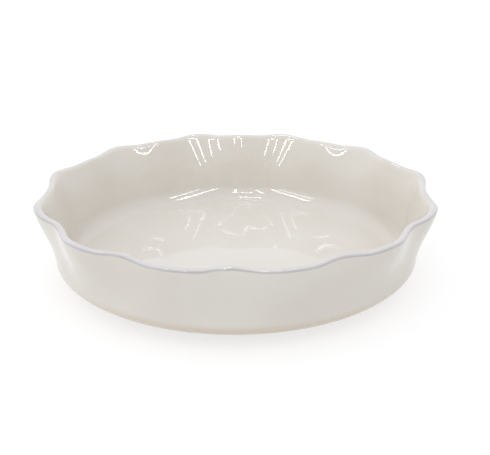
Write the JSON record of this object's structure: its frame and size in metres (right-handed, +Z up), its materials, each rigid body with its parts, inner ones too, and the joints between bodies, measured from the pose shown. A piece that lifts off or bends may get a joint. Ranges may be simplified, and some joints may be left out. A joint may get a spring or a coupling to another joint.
{
  "type": "pie dish",
  "caption": "Round deep stoneware pie dish with a softly ruffled flaring wall, rounded lip and low foot ring, glazed inside and out.",
  "frame": {"origin": "centre of the foot ring's underside, on the surface that the dish stands on", "axes": "+Z up along the dish's axis, +X through one crest of the ruffle; a crest also lies on -X, +Y and -Y"},
  "size_m": [0.2796, 0.2796, 0.06],
  "materials": {
    "stoneware": "bare fired clay, matt and slightly gritty",
    "cream_glaze": "glossy warm cream-white glaze",
    "rim_glaze": "glossy pale lilac-white glaze with a fine grey lower edge"
  },
  "bodies": {
    "root": {"stoneware_body": "stoneware", "inside_glaze": "cream_glaze", "outside_glaze": "cream_glaze", "underside_glaze": "cream_glaze", "rim_glaze": "rim_glaze"}
  },
  "joints": []
}
